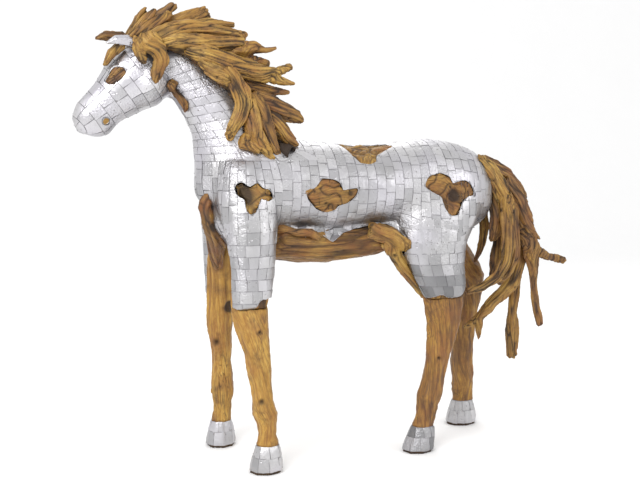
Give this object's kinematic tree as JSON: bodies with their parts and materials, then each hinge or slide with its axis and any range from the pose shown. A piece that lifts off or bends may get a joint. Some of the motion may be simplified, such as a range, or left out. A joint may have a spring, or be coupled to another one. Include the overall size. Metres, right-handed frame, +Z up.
{
  "type": "driftwood horse sculpture",
  "caption": "Standing horse of teak roots, its body clad in hammered metal squares, with a mane and tail of loose roots.",
  "frame": {"origin": "centre of the object's box at the level of the soles", "axes": "+Z up, the horse faces -X, its left side is towards -Y"},
  "size_m": [2.1054, 0.5053, 1.8003],
  "materials": {
    "hammered_metal": "hand-hammered, bright",
    "teak_root": "weathered, oiled"
  },
  "bodies": {
    "root": {"belly_branch": "teak_root", "belly_root": "teak_root", "brow_root": "teak_root", "chest_root": "teak_root", "clad_body": "hammered_metal", "crest_root": "teak_root", "ear_left": "hammered_metal", "ear_right": "teak_root", "eye_left": "teak_root", "eye_right": "teak_root", "forelock_board": "teak_root", "forelock_fork": "teak_root", "forelock_spike_back": "teak_root", "forelock_spike_front": "teak_root", "forelock_spike_tall": "teak_root", "hoof_front_left": "hammered_metal", "hoof_front_right": "hammered_metal", "hoof_hind_left": "hammered_metal", "hoof_hind_right": "hammered_metal", "inlay_back": "teak_root", "inlay_flank": "teak_root", "inlay_hip": "teak_root", "inlay_hip_right": "teak_root", "inlay_shoulder": "teak_root", "leg_front_left": "teak_root", "leg_front_right": "teak_root", "leg_hind_left": "teak_root", "leg_hind_right": "teak_root", "mane_blade": "teak_root", "mane_boomerang": "teak_root", "mane_crest": "teak_root", "mane_fall_back": "teak_root", "mane_fall_front": "teak_root", "mane_fall_middle": "teak_root", "mane_fork": "teak_root", "mane_leaf": "teak_root", "mane_rail": "teak_root", "mane_reed": "teak_root", "mane_right_back": "teak_root", "mane_right_blade": "teak_root", "mane_right_fall": "teak_root", "mane_right_top": "teak_root", "mane_sweep": "teak_root", "mane_thorn": "teak_root", "mane_wing": "teak_root", "nostril_peg_left": "teak_root", "nostril_peg_right": "teak_root", "stifle_root_left": "teak_root", "stifle_root_right": "teak_root", "tail_curl": "teak_root", "tail_dock": "teak_root", "tail_drop": "teak_root", "tail_flake": "teak_root", "tail_hook": "teak_root", "tail_inner": "teak_root", "tail_long": "teak_root", "tail_strand": "teak_root", "tail_top": "teak_root", "tail_twig": "teak_root", "throat_root": "teak_root"}
  },
  "joints": []
}
